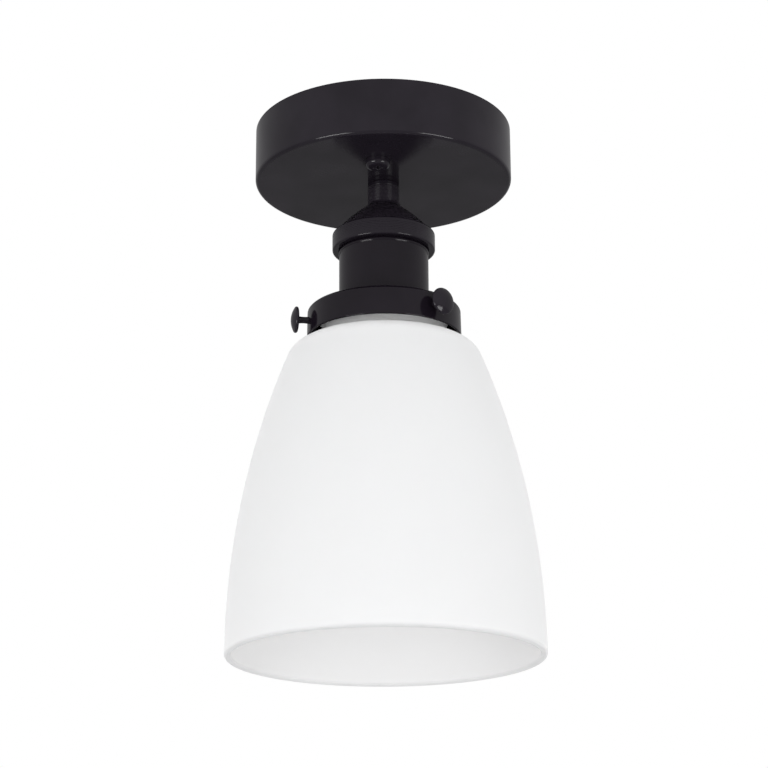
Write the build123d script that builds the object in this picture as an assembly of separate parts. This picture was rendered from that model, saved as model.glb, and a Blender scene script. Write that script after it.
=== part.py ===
from build123d import *
import os
from math import cos, radians, sin, sqrt, tan

# Semi-flush ceiling light: a canopy, a lampholder hung under it and an opal glass shade.
# Millimetres, +Z up. The origin is on the ceiling, at the centre of the canopy's rim.

# Clearances shared by every joint
thread_clearance = 0.05     # radial gap in a screwed or turning joint
slip_clearance = 0.2        # radial gap between nested pieces
seat_gap = 0.2              # gap between a round piece and what it rests on
lead_gap = 0.2              # gap between a lead's insulation and its terminal

# Canopy: drawn steel cup, open towards the ceiling
canopy_diameter = 120.0
canopy_height = 26.5
canopy_wall = 1.2
canopy_edge_radius = 1.8
canopy_inner_edge = 0.3

# Crossbar: slotted strap that is screwed to the ceiling box
bar_width = 18.0
bar_thickness = 2.0
bar_corner_radius = 3.0
bar_end = 4.1               # metal beyond each slot
box_slot_spacing = 79.4
box_slot_length = 14.4
box_slot_width = 4.8
bar_centre_hole = 10.4

# Canopy screws: up through the canopy's floor into the crossbar
canopy_screw_spacing = 58.6
canopy_screw_diameter = 4.0
canopy_screw_hole = 4.6
canopy_head_diameter = 11.4
canopy_head_height = 3.6
canopy_head_edge = 2.0
cross_recess_length = 4.6
cross_recess_width = 1.0
cross_recess_depth = 1.2
screw_end_gap = 0.4         # a screw's end stays this far below the ceiling

# Straight driver slots of the small clamp screws
driver_slot_width = 0.6
driver_slot_depth = 0.6

# Threaded nipple and what holds it in the canopy
nipple_diameter = 10.0
nipple_bore = 7.4
nipple_proud = 1.4
nipple_grip = 7.3
lock_nut_width = 14.0
lock_nut_height = 4.0
washer_diameter = 18.0
washer_thickness = 1.0
washer_split = 1.2
collar_diameter = 14.6
collar_height = 2.2
collar_chamfer = 0.4

# Lampholder cap: neck boss, spreading cone and threaded skirt
boss_diameter = 14.8
boss_height = 8.8
cone_height = 14.0
cone_bulge = 0.8
throat_radius = 2.5         # fillet between boss and cone
cap_wall = 1.6
skirt_length = 5.5
skirt_wall = 1.5
set_screw_diameter = 3.0
set_screw_recess = 0.3

# Union ring: screws up the cap's skirt and lifts the shell's flange against it
ring_step = 3.15            # how far it stands out from the shell
ring_reveal = 1.35          # how far it stands out from the cone's foot
ring_wall = 1.5
ring_lip = 1.8
ring_edge_radius = 0.7
flange_thickness = 1.3

# Socket shell: plain cylinder with a threaded nose for the gallery
shell_diameter = 41.5
shell_wall = 1.3
shell_length = 30.1
nose_step = 1.75            # how far the nose is set in from the shell
nose_length = 11.9

# Porcelain insulator
cavity_headroom = 5.5       # room above the screw shell for the sprung contact
porcelain_drop = 3.0        # its top lies this far below the shell's top
porcelain_inset = 0.6       # its mouth lies this far inside the nose
mouth_chamfer = 0.8

# Screw shell for a medium-screw lamp cap, and its tongue
lamp_thread_diameter = 26.4
lamp_shell_wall = 0.4
lamp_shell_length = 20.5
lamp_shell_inset = 1.4
tongue_width = 6.0
tongue_reach = 7.0

# Sprung centre contact
contact_width = 6.0
contact_thickness = 0.6
leaf_length = 9.2
leaf_slope = 16.0
leaf_hinge_gap = 0.3
button_diameter = 3.6
button_height = 0.8
rivet_diameter = 3.0
rivet_head_diameter = 5.0
rivet_head_height = 0.8

# Pillar terminals on top of the porcelain
terminal_offset = 9.0
pillar_width = 6.5
pillar_depth = 6.0
pillar_height = 7.0
wire_hole_depth = 4.6
terminal_screw_diameter = 2.6
terminal_head_diameter = 4.4
terminal_head_height = 1.4

# Gallery: round-shouldered cup that holds the glass
gallery_diameter = 71.0
gallery_flare = 0.2
gallery_height = 15.7
gallery_wall = 1.1
gallery_shoulder_height = 3.7
gallery_ring_wall = 2.5
gallery_ring_height = 3.0
spanner_notch = 3.0
spanner_notch_depth = 1.5

# Thumb screws: three studs with mushroom heads
screw_count = 3
first_screw_angle = -45.0
screw_diameter = 3.5
screw_showing = 4.6         # stud between the gallery and the head
screw_tip_chamfer = 0.4
burr_wall = 1.2
burr_length = 2.0
head_diameter = 12.2
head_rim = 1.7
head_dome = 1.5
head_hub_wall = 0.5
head_hub_length = 0.5
head_grip = 2.2             # stud inside the head

# Glass shade: lip bead, neck, sloping shoulder, round corner and one long side arc
glass_wall = 3.0
neck_length = 11.4
bead_height = 3.6
bead_lip = 2.7              # how far the bead stands out from the neck
bead_room = 2.7             # from the bead out to the gallery
bead_headroom = 1.95        # from the bead up to the gallery
shade_height = 146.1
shade_diameter = 141.9
shoulder_width = 12.64      # from the neck out to the side arc, at the neck's foot
corner_radius = 10.0
shoulder_slope = 11.1
neck_fillet = 2.6

# Leads
lead_diameter = 2.0
bare_diameter = 1.2
bend_share = 0.45           # share of the shorter run that an arc may use
nipple_place = 1.6          # a lead's axis beside the nipple's
pillar_run = 4.5            # straight run up from a pillar terminal
nipple_run_in = 4.5         # straight run below the nipple
nipple_run_out = 5.5        # straight run above the nipple
arch_place = 8.0            # top of the arch over the nut
arch_rise = 8.5
fall_place = 15.5           # where the lead comes down to the block
fall_rise = 3.5
block_run = 4.2             # straight run into the block
earth_run = 6.4             # straight runs of the earth lead
live_arch = (3.4, 7.2)      # sideways places at the arch and the fall
neutral_arch = (-2.2, -0.9)

# Terminal block on the canopy's floor
block_offset = 33.0
block_width = 17.0
block_height = 12.0
pole_count = 3
pole_pitch = 9.0
tube_rise = 6.0
tube_length = 14.0
tube_bore = 3.0
tube_wall = 0.4
groove_width = 1.6
groove_depth = 4.5
clamp_spacing = 8.6
clamp_diameter = 2.8
clamp_length = 4.2

# Earth connection on the crossbar
ground_offset = 17.0
ground_screw_diameter = 4.0
ground_head_diameter = 7.6
ground_head_height = 2.8
lug_diameter = 8.4
lug_thickness = 0.8
barrel_diameter = 3.2
barrel_start = 4.4
barrel_length = 5.0

# Heights, from the ceiling down
canopy_floor = -canopy_height + canopy_wall
washer_top = canopy_floor + washer_thickness
nut_top = washer_top + lock_nut_height
nipple_top = nut_top + nipple_proud
bar_under = -bar_thickness
boss_top = -canopy_height - collar_height
nipple_foot = boss_top - nipple_grip
set_screw_height = (boss_top + nipple_foot) / 2
boss_foot = boss_top - boss_height
cone_foot = boss_foot - cone_height
skirt_foot = cone_foot - skirt_length
ring_top = cone_foot
lip_top = skirt_foot - flange_thickness
ring_foot = lip_top - ring_lip
shell_top = skirt_foot
shell_shoulder = shell_top - shell_length
nose_foot = shell_shoulder - nose_length
porcelain_top = shell_top - porcelain_drop
porcelain_seat = shell_shoulder + shell_wall
porcelain_foot = nose_foot + porcelain_inset
terminal_top = porcelain_top + pillar_height
lamp_shell_foot = porcelain_foot + lamp_shell_inset
lamp_shell_top = lamp_shell_foot + lamp_shell_length
cavity_top = lamp_shell_top + cavity_headroom
gallery_top = shell_shoulder
gallery_under = gallery_top - gallery_wall
gallery_side = gallery_top - gallery_shoulder_height
gallery_rim = gallery_top - gallery_height
bead_top = gallery_under - bead_headroom
bead_foot = bead_top - bead_height
screw_axis = bead_foot - seat_gap - screw_diameter / 2
shoulder_top = bead_foot - neck_length
shade_rim = shoulder_top - shade_height
side_foot = shade_rim + glass_wall / 2
tube_axis = canopy_floor + tube_rise
barrel_axis = bar_under - lug_thickness / 2 - barrel_diameter / 2

# Radii and lengths
bar_length = box_slot_spacing + box_slot_length + 2 * bar_end
ring_radius = shell_diameter / 2 + ring_step
cone_radius = ring_radius - ring_reveal
nose_radius = shell_diameter / 2 - nose_step
nipple_hole_radius = nipple_diameter / 2 + thread_clearance
skirt_radius = ring_radius - ring_wall - thread_clearance
shell_bore_radius = shell_diameter / 2 - shell_wall
nose_bore_radius = nose_radius - shell_wall
lamp_bore_radius = lamp_thread_diameter / 2
lamp_shell_radius = lamp_bore_radius + lamp_shell_wall
cavity_radius = lamp_shell_radius + slip_clearance
gallery_side_radius = gallery_diameter / 2 - gallery_flare
gallery_inner_radius = gallery_side_radius - gallery_wall
gallery_ring_radius = nose_radius + gallery_ring_wall
gallery_flat_radius = gallery_ring_radius + slip_clearance
bead_radius = gallery_inner_radius - bead_room
neck_radius = bead_radius - bead_lip
side_inset = shade_diameter / 2 - neck_radius - shoulder_width
side_rise = shoulder_top - side_foot
side_radius = (side_rise ** 2 + side_inset ** 2) / (2 * side_inset)
stud_tip = neck_radius + seat_gap
head_back = gallery_diameter / 2 + screw_showing
screw_angles = [first_screw_angle + n * 360.0 / screw_count for n in range(screw_count)]
pole_places = [(n - (pole_count - 1) / 2) * pole_pitch for n in range(pole_count)]
earth_pole, neutral_pole, live_pole = pole_places[0], pole_places[1], pole_places[-1]
block_face = block_offset - block_width / 2

UPWARD = (Align.CENTER, Align.CENTER, Align.MIN)
OUTWARD = (Align.MIN, Align.MIN)


def rod(radius, low, high, x=0.0, y=0.0):
    """Upright round bar between two heights."""
    return Pos(x, y, low) * Cylinder(radius, high - low, align=UPWARD)


def tube(outer_radius, inner_radius, low, high):
    """Upright round tube on the Z axis between two heights."""
    wall = Rectangle(outer_radius - inner_radius, high - low, align=OUTWARD)
    return revolve(Plane.XZ * (Pos(inner_radius, low) * wall), Axis.Z)


def turned(*edges):
    """Turned piece: a closed outline of radius and height, spun about the Z axis."""
    return revolve(Plane.XZ * make_face(edges), Axis.Z)


def run(*points):
    """Straight edges from point to point."""
    return [Line(a, b) for a, b in zip(points, points[1:])]


def cross_rod(radius, start, end, y, z):
    """Round bar along X between two places."""
    return Pos(start, y, z) * Rot(0, 90, 0) * Cylinder(radius, end - start, align=UPWARD)


def driver_slot(face):
    """Straight slot across the end of a screw that lies along X, with its end at face."""
    width = canopy_head_diameter
    return Pos(face, 0, 0) * Box(2 * driver_slot_depth, width, driver_slot_width)


def radial(shape, angle, height):
    """Turns a piece built along +X to its place round the axis."""
    return Pos(0, 0, height) * Rot(0, 0, angle) * shape


def canopy():
    """Cup with a round lower edge, a centre hole and two screw holes."""
    radius = canopy_diameter / 2
    outer = Pos(0, -canopy_height) * Rectangle(radius, canopy_height, align=OUTWARD)
    outer = fillet(outer.vertices().group_by(Axis.Y)[0].sort_by(Axis.X)[-1], canopy_edge_radius)
    inner = Pos(0, canopy_floor) * Rectangle(radius - canopy_wall, canopy_height, align=OUTWARD)
    inner = fillet(inner.vertices().group_by(Axis.Y)[0].sort_by(Axis.X)[-1], canopy_inner_edge)
    cup = revolve(Plane.XZ * (outer - inner), Axis.Z)
    cup -= rod(nipple_hole_radius, -canopy_height, 0)
    for y in (-canopy_screw_spacing / 2, canopy_screw_spacing / 2):
        cup -= rod(canopy_screw_hole / 2, -canopy_height, 0, y=y)
    return cup


def crossbar():
    """Flat strap along Y with two box slots, a centre hole and tapped holes."""
    strap = RectangleRounded(bar_width, bar_length, bar_corner_radius)
    strap -= Circle(bar_centre_hole / 2)
    tapped = canopy_screw_diameter / 2 + thread_clearance
    box_slot = SlotOverall(box_slot_length, box_slot_width, rotation=90)
    for side in (-1, 1):
        strap -= Pos(0, side * box_slot_spacing / 2) * box_slot
        strap -= Pos(0, side * canopy_screw_spacing / 2) * Circle(tapped)
    strap -= Pos(0, -ground_offset) * Circle(ground_screw_diameter / 2 + thread_clearance)
    return Pos(0, 0, bar_under) * extrude(strap, bar_thickness)


def cross_recess(depth_from):
    """Cross-shaped driver recess that opens downwards."""
    arm = (cross_recess_length, cross_recess_width, cross_recess_depth)
    cross = Box(*arm, align=UPWARD) + Rot(0, 0, 90) * Box(*arm, align=UPWARD)
    return Pos(0, 0, depth_from) * cross


def canopy_screws():
    """Two screws with round-edged flat heads under the canopy."""
    low = -canopy_height - canopy_head_height
    head = Pos(0, low) * Rectangle(canopy_head_diameter / 2, canopy_head_height, align=OUTWARD)
    head = fillet(head.vertices().group_by(Axis.Y)[0].sort_by(Axis.X)[-1], canopy_head_edge)
    screw = revolve(Plane.XZ * head, Axis.Z)
    screw += rod(canopy_screw_diameter / 2, -canopy_height, -screw_end_gap)
    screw -= cross_recess(low)
    return Part() + [Pos(0, side * canopy_screw_spacing / 2) * screw for side in (-1, 1)]


def ground_screw():
    """Pan-head screw that clamps the earth lug under the crossbar."""
    head_top = bar_under - lug_thickness
    screw = rod(ground_head_diameter / 2, head_top - ground_head_height, head_top)
    screw += rod(ground_screw_diameter / 2, head_top, -screw_end_gap)
    screw -= cross_recess(head_top - ground_head_height)
    return Pos(0, -ground_offset, 0) * screw


def earth_lug():
    """Ring lug with a crimped barrel along +X."""
    neck_reach = barrel_start + barrel_length / 2
    ring = Circle(lug_diameter / 2) + Pos(neck_reach / 2, 0) * Rectangle(neck_reach, barrel_diameter)
    ring -= Circle(ground_screw_diameter / 2 + thread_clearance)
    lug = Pos(0, 0, bar_under - lug_thickness) * extrude(ring, lug_thickness)
    barrel_end = barrel_start + barrel_length
    lug += cross_rod(barrel_diameter / 2, barrel_start, barrel_end, 0, barrel_axis)
    lug -= cross_rod(bare_diameter / 2 + thread_clearance, barrel_start, barrel_end, 0, barrel_axis)
    return Pos(0, -ground_offset, 0) * lug


def threaded_nipple():
    """Hollow tube through canopy, collar and boss, which carries the leads."""
    return tube(nipple_diameter / 2, nipple_bore / 2, nipple_foot, nipple_top)


def lock_nut():
    """Hexagon nut on the canopy's inner side."""
    hexagon = RegularPolygon(lock_nut_width / 2, 6, major_radius=False) - Circle(nipple_hole_radius)
    return Pos(0, 0, washer_top) * extrude(hexagon, lock_nut_height)


def split_washer():
    """Spring washer with a slit."""
    ring = Circle(washer_diameter / 2) - Circle(nipple_hole_radius + slip_clearance)
    ring -= Pos(-washer_diameter / 2, 0) * Rectangle(washer_diameter, washer_split)
    return Pos(0, 0, canopy_floor) * extrude(ring, washer_thickness)


def spacer_collar():
    """Round collar under the canopy, with broken edges."""
    collar = tube(collar_diameter / 2, nipple_hole_radius, boss_top, boss_top + collar_height)
    rims = collar.edges().filter_by(GeomType.CIRCLE).filter_by(
        lambda edge: edge.radius > nipple_diameter / 2 + collar_chamfer)
    return chamfer(rims, collar_chamfer)


def lampholder_cap():
    """Boss, filleted throat, bowed cone and threaded skirt in one spun piece, hollow below the boss."""
    boss_radius = boss_diameter / 2
    skirt_bore = skirt_radius - skirt_wall
    inward = Vector(-cone_height, boss_radius - cone_radius).normalized() * cap_wall
    hollow_top = Vector(boss_radius, boss_foot) + inward
    reach = (skirt_bore - hollow_top.X) / (cone_radius - boss_radius)
    hollow_foot = hollow_top.Y - reach * cone_height
    outer = run((nipple_hole_radius, boss_top), (boss_radius, boss_top), (boss_radius, boss_foot))
    outer.append(SagittaArc((boss_radius, boss_foot), (cone_radius, cone_foot), cone_bulge))
    outer += run((cone_radius, cone_foot), (skirt_radius, cone_foot), (skirt_radius, skirt_foot),
                 (skirt_bore, skirt_foot), (skirt_bore, hollow_foot))
    hollow = (hollow_top.X, hollow_top.Y)
    inner = [SagittaArc((skirt_bore, hollow_foot), hollow, -cone_bulge * reach ** 2)]
    inner += run(hollow, (nipple_hole_radius, hollow_top.Y), (nipple_hole_radius, boss_top))
    section = make_face(outer + inner)
    throat = section.vertices().sort_by_distance((boss_radius, boss_foot))[0]
    cap = revolve(Plane.XZ * fillet(throat, throat_radius), Axis.Z)
    bore = cross_rod(set_screw_diameter / 2 + thread_clearance, 0, boss_diameter, 0, 0)
    return cap - radial(bore, 90, set_screw_height)


def cap_set_screw():
    """Grub screw in the back of the boss, tight on the nipple."""
    length_end = boss_diameter / 2 - set_screw_recess
    screw = cross_rod(set_screw_diameter / 2, nipple_hole_radius, length_end, 0, 0)
    return radial(screw - driver_slot(length_end), 90, set_screw_height)


def union_ring():
    """Ring with round edges, a threaded bore and a lip under the shell's flange."""
    ring_height = ring_top - ring_foot
    section = Pos(0, ring_foot) * Rectangle(ring_radius, ring_height, align=OUTWARD)
    section = fillet(section.vertices().group_by(Axis.X)[-1], ring_edge_radius)
    thread = Rectangle(ring_radius - ring_wall, ring_top - lip_top, align=OUTWARD)
    section -= Pos(0, lip_top) * thread
    passage = Rectangle(shell_diameter / 2 + slip_clearance, ring_height, align=OUTWARD)
    section -= Pos(0, ring_foot) * passage
    return revolve(Plane.XZ * section, Axis.Z)


def socket_shell():
    """Flanged cylinder that steps in to the threaded nose."""
    radius = shell_diameter / 2
    points = [(shell_bore_radius, shell_top), (skirt_radius, shell_top), (skirt_radius, lip_top),
              (radius, lip_top), (radius, shell_shoulder), (nose_radius, shell_shoulder),
              (nose_radius, nose_foot), (nose_bore_radius, nose_foot), (nose_bore_radius, porcelain_seat),
              (shell_bore_radius, porcelain_seat), (shell_bore_radius, shell_top)]
    return turned(*run(*points))


def porcelain_insulator():
    """Stepped porcelain body with the lamp cavity below and rivet holes through its cover."""
    upper = shell_bore_radius - slip_clearance
    lower = nose_bore_radius - slip_clearance
    points = [(0, porcelain_top), (upper - mouth_chamfer, porcelain_top),
              (upper, porcelain_top - mouth_chamfer), (upper, porcelain_seat), (lower, porcelain_seat),
              (lower, porcelain_foot), (cavity_radius + mouth_chamfer, porcelain_foot),
              (cavity_radius, porcelain_foot + mouth_chamfer), (cavity_radius, cavity_top),
              (0, cavity_top), (0, porcelain_top)]
    body = turned(*run(*points))
    for side in (-1, 1):
        hole = rivet_diameter / 2 + thread_clearance
        body -= rod(hole, cavity_top, porcelain_top, y=side * terminal_offset)
    return body


def screw_shell():
    """Lamp thread sleeve with a strip up its back and a tongue under the neutral rivet."""
    sleeve = tube(lamp_shell_radius, lamp_bore_radius, lamp_shell_foot, lamp_shell_top)
    strip = Box(tongue_width, lamp_shell_wall, cavity_headroom, align=UPWARD)
    strip = Pos(0, -lamp_bore_radius, lamp_shell_top) * strip
    span = lamp_bore_radius + lamp_shell_wall / 2 - terminal_offset + tongue_reach / 2
    middle = -lamp_bore_radius - lamp_shell_wall / 2 + span / 2
    tongue_foot = cavity_top - lamp_shell_wall
    tongue = Pos(0, middle, tongue_foot) * Box(tongue_width, span, lamp_shell_wall, align=UPWARD)
    hole = rivet_diameter / 2 + thread_clearance
    tongue -= rod(hole, tongue_foot, cavity_top, y=-terminal_offset)
    return sleeve + strip + tongue


def contact_anchor():
    """Brass pad under the live rivet that the leaf springs from."""
    pad = Pos(0, terminal_offset, cavity_top - contact_thickness)
    pad *= Box(contact_width, rivet_head_diameter, contact_thickness, align=UPWARD)
    hole = rivet_diameter / 2 + thread_clearance
    return pad - rod(hole, cavity_top - contact_thickness, cavity_top, y=terminal_offset)


def contact_leaf():
    """Sloping spring leaf with a domed button under its free end."""
    strip = Pos(0, -leaf_length / 2, -contact_thickness / 2)
    strip *= Box(contact_width, leaf_length, contact_thickness)
    button = Pos(0, -leaf_length + button_diameter / 2, -contact_thickness)
    button *= Rot(180, 0, 0) * Cylinder(button_diameter / 2, button_height, align=UPWARD)
    button = fillet(button.edges().group_by(Axis.Z)[0], button_height / 2)
    root = terminal_offset - rivet_head_diameter / 2 - leaf_hinge_gap
    return Pos(0, root, cavity_top - leaf_hinge_gap) * Rot(leaf_slope, 0, 0) * (strip + button)


def contact_rivets():
    """Two rivets through the porcelain: one holds the anchor, the other the screw shell's tongue."""
    rivets = []
    for side, plate in ((1, contact_thickness), (-1, lamp_shell_wall)):
        head_top = cavity_top - plate
        y = side * terminal_offset
        shaft = rod(rivet_diameter / 2, head_top, porcelain_top, y=y)
        rivets.append(shaft + rod(rivet_head_diameter / 2, head_top - rivet_head_height, head_top, y=y))
    return Part() + rivets


def pillar_terminals():
    """Two brass blocks, each with a wire hole from above and a clamp screw from outside."""
    block = Box(pillar_width, pillar_depth, pillar_height, align=UPWARD)
    wire = rod(bare_diameter / 2 + thread_clearance, pillar_height - wire_hole_depth, pillar_height)
    clamp_height = pillar_height - wire_hole_depth / 2
    clamp = cross_rod(terminal_screw_diameter / 2 + thread_clearance, 0, pillar_depth, 0, clamp_height)
    pillar = Pos(0, terminal_offset, porcelain_top) * (block - wire - Rot(0, 0, 90) * clamp)
    return Part() + [pillar, Rot(0, 0, 180) * pillar]


def terminal_screws():
    """Clamp screws of the pillar terminals, tight on the bare wires."""
    outside = terminal_offset + pillar_depth / 2
    tip = terminal_offset + bare_diameter / 2 + thread_clearance
    screw = cross_rod(terminal_screw_diameter / 2, tip, outside, 0, 0)
    face = outside + terminal_head_height
    screw += cross_rod(terminal_head_diameter / 2, outside, face, 0, 0)
    height = terminal_top - wire_hole_depth / 2
    return Part() + [radial(screw - driver_slot(face), angle, height) for angle in (90, -90)]


def gallery():
    """Spun cup with an elliptic shoulder and three burred screw holes."""
    hole = nose_radius + slip_clearance
    flat = gallery_flat_radius
    side = gallery_side_radius
    rim = gallery_diameter / 2
    wide = side - flat
    outer_turn = EllipticalCenterArc((flat, gallery_side), wide, gallery_shoulder_height, 0, arc_size=90)
    inner_turn = EllipticalCenterArc((flat, gallery_side), wide - gallery_wall,
                                     gallery_shoulder_height - gallery_wall, 0, arc_size=90)
    edges = run((side, gallery_side), (rim, gallery_rim), (rim - gallery_wall, gallery_rim),
                (side - gallery_wall, gallery_side))
    edges += run((flat, gallery_under), (hole, gallery_under), (hole, gallery_top), (flat, gallery_top))
    cup = turned(*edges, outer_turn, inner_turn)
    burr_start = gallery_inner_radius - burr_length
    bore_radius = screw_diameter / 2 + thread_clearance
    burr_end = gallery_inner_radius + gallery_wall / 2
    burr = cross_rod(bore_radius + burr_wall, burr_start, burr_end, 0, 0)
    bore = cross_rod(bore_radius, 0, gallery_diameter, 0, 0)
    for angle in screw_angles:
        cup += radial(burr, angle, screw_axis)
    for angle in screw_angles:
        cup -= radial(bore, angle, screw_axis)
    return cup


def gallery_ring():
    """Threaded ring below the gallery's top, with spanner notches."""
    low = gallery_under - gallery_ring_height
    ring = tube(gallery_ring_radius, nose_radius + thread_clearance, low, gallery_under)
    notch = Box(2 * gallery_ring_radius, spanner_notch, spanner_notch_depth, align=UPWARD)
    for angle in (0, 90):
        ring -= Pos(0, 0, low) * Rot(0, 0, angle) * notch
    return ring


def thumb_screw_stud():
    """Stud along +X, from the glass neck to inside the head."""
    stud = cross_rod(screw_diameter / 2, stud_tip, head_back + head_grip, 0, 0)
    return chamfer(stud.edges().sort_by(Axis.X)[0], screw_tip_chamfer)


def thumb_screw_head():
    """Mushroom head along +X: a short hub, a round rim and a domed face."""
    rim_radius = head_diameter / 2
    bore = screw_diameter / 2 + thread_clearance
    hub_radius = bore + head_hub_wall
    front = head_back + head_rim
    bore_end = head_back + head_grip + thread_clearance
    edges = run((bore_end, 0), (bore_end, bore), (head_back - head_hub_length, bore),
                (head_back - head_hub_length, bore + (hub_radius - bore) / 2), (head_back, hub_radius),
                (head_back, rim_radius - head_rim / 2))
    round_start = rim_radius - head_rim / 2
    edges.append(ThreePointArc((head_back, round_start), (head_back + head_rim / 2, rim_radius),
                               (front, round_start)))
    crown = (front + head_dome, 0)
    edges.append(RadiusArc((front, round_start), crown, dome_radius(), short_sagitta=True))
    edges += run(crown, (bore_end, 0))
    return revolve(make_face(edges), Axis.X)


def dome_radius():
    """Radius of the head's face, which rises by head_dome over the flat of the rim."""
    half_width = head_diameter / 2 - head_rim / 2
    return (half_width ** 2 + head_dome ** 2) / (2 * head_dome)


def shade_corner():
    """Centre of the shoulder's round corner, which touches the shoulder line and the side arc."""
    slope = radians(shoulder_slope)
    out = Vector(sin(slope), cos(slope))
    along = Vector(cos(slope), -sin(slope))
    side_centre = Vector(shade_diameter / 2 - side_radius, side_foot)
    start = Vector(neck_radius, shoulder_top) - out * corner_radius
    offset_from = start - side_centre
    toward = offset_from.dot(along)
    reach = side_radius - corner_radius
    travel = -toward + sqrt(toward ** 2 - offset_from.dot(offset_from) + reach ** 2)
    corner = start + along * travel
    return corner, out, (corner - side_centre).normalized()


def shade_face(inset):
    """Glass surface moved into the glass by inset: shoulder line, corner arc and side arc."""
    corner, out, sideways = shade_corner()
    round_radius = corner_radius - inset
    shoulder_end = corner + out * round_radius
    side_start = corner + sideways * round_radius
    halfway = corner + (out + sideways).normalized() * round_radius
    slope = radians(shoulder_slope)
    neck = neck_radius - inset
    neck_foot = shoulder_end.Y + (shoulder_end.X - neck) * tan(slope)
    rim = (shade_diameter / 2 - inset, side_foot)
    side_centre = Vector(shade_diameter / 2 - side_radius, side_foot)
    toward_middle = (side_start - side_centre + Vector(*rim) - side_centre).normalized()
    middle = side_centre + toward_middle * (side_radius - inset)
    flat = [(p.X, p.Y) for p in (shoulder_end, halfway, side_start, middle)]
    edges = run((neck, neck_foot), flat[0])
    edges.append(ThreePointArc(flat[0], flat[1], flat[2]))
    edges.append(ThreePointArc(flat[2], flat[3], rim))
    return edges, (neck, neck_foot), rim


def glass_shade():
    """Opal bell: the two faces, a round rim below and a lip bead at the top of the neck."""
    outer, outer_neck, outer_rim = shade_face(0.0)
    inner, inner_neck, inner_rim = shade_face(glass_wall)
    bead_round = bead_height / 2
    bead_out = bead_radius - bead_round
    lip = run(outer_neck, (neck_radius, bead_foot), (bead_out, bead_foot))
    bead_middle = (bead_radius, bead_foot + bead_round)
    lip.append(ThreePointArc((bead_out, bead_foot), bead_middle, (bead_out, bead_top)))
    lip += run((bead_out, bead_top), (neck_radius - glass_wall, bead_top), inner_neck)
    rim = ThreePointArc(inner_rim, (shade_diameter / 2 - glass_wall / 2, shade_rim), outer_rim)
    face = make_face([*outer, *inner, *lip, rim])
    for place, radius in ((outer_neck, neck_fillet), (inner_neck, neck_fillet + glass_wall)):
        face = fillet(face.vertices().sort_by_distance(Vector(*place))[0], radius)
    return revolve(Plane.XZ * face, Axis.Z)


def bend_radii(points):
    """Each corner's radius: as large as its two runs allow."""
    radii = []
    for before, corner, after in zip(points, points[1:], points[2:]):
        come = Vector(*corner) - Vector(*before)
        go = Vector(*after) - Vector(*corner)
        half_turn = radians(come.get_angle(go)) / 2
        radii.append(bend_share * min(come.length, go.length) / tan(half_turn))
    return radii


def lead(name, points):
    """Insulated wire: straight runs joined by tangent arcs."""
    radii = bend_radii(points)
    path = FilletPolyline(*points, radius=radii)
    section = Plane(origin=path @ 0, z_dir=path % 0) * Circle(lead_diameter / 2)
    print(name, "length", round(path.length, 1), "radii", [round(radius, 1) for radius in radii])
    return sweep(section, path=path)


def lamp_route(side, arch, pole):
    """From a pillar terminal up through the nipple, over in the canopy and into the block's pole."""
    beside = side * nipple_place
    y = side * terminal_offset
    end = block_face - lead_gap
    return [(0, y, terminal_top + lead_gap), (0, y, terminal_top + pillar_run),
            (0, beside, nipple_foot - nipple_run_in), (0, beside, nipple_top + nipple_run_out),
            (arch_place, arch[0], nipple_top + arch_rise), (fall_place, arch[1], nipple_top + fall_rise),
            (end - block_run, pole, tube_axis), (end, pole, tube_axis)]


def earth_route():
    """From the block's earth pole up to the lug's barrel."""
    start = block_face - lead_gap
    end = barrel_start + barrel_length + lead_gap
    return [(start, earth_pole, tube_axis), (start - earth_run, earth_pole, tube_axis),
            (end + earth_run, -ground_offset, barrel_axis), (end, -ground_offset, barrel_axis)]


def lead_ends():
    """Stripped copper ends inside the terminals."""
    bare = bare_diameter / 2
    in_block = block_offset - tube_length / 2 + clamp_spacing / 2
    ends = [cross_rod(bare, block_face - lead_gap, in_block, y, tube_axis) for y in pole_places]
    for side in (-1, 1):
        low = terminal_top - wire_hole_depth + lead_gap
        ends.append(rod(bare, low, terminal_top + lead_gap, y=side * terminal_offset))
    barrel_end = barrel_start + barrel_length
    in_lug = cross_rod(bare, barrel_start + lead_gap, barrel_end + lead_gap, -ground_offset, barrel_axis)
    ends.append(in_lug)
    return Part() + ends


def terminal_block():
    """Three-pole nylon block: towers over the tubes, parted by grooves."""
    length = pole_count * pole_pitch
    body = Pos(block_offset, 0, canopy_floor) * Box(block_width, length, block_height, align=UPWARD)
    top = canopy_floor + block_height
    for low_pole in pole_places[:-1]:
        groove = Box(block_width, groove_width, groove_depth, align=UPWARD)
        body -= Pos(block_offset, low_pole + pole_pitch / 2, top - groove_depth) * groove
    tube_radius = tube_bore / 2 + tube_wall + thread_clearance
    for y in pole_places:
        body -= cross_rod(tube_radius, block_face, block_face + block_width, y, tube_axis)
        for side in (-1, 1):
            x = block_offset + side * clamp_spacing / 2
            body -= rod(clamp_diameter / 2 + slip_clearance, tube_axis, top, x, y)
    return body


def block_tubes():
    """Brass tubes in the block, tapped for the clamp screws."""
    tubes = []
    start, end = block_offset - tube_length / 2, block_offset + tube_length / 2
    for y in pole_places:
        piece = cross_rod(tube_bore / 2 + tube_wall, start, end, y, tube_axis)
        piece -= cross_rod(tube_bore / 2, start, end, y, tube_axis)
        for side in (-1, 1):
            x = block_offset + side * clamp_spacing / 2
            piece -= rod(clamp_diameter / 2 + thread_clearance, tube_axis, tube_axis + tube_bore, x, y)
        tubes.append(piece)
    return Part() + tubes


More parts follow.
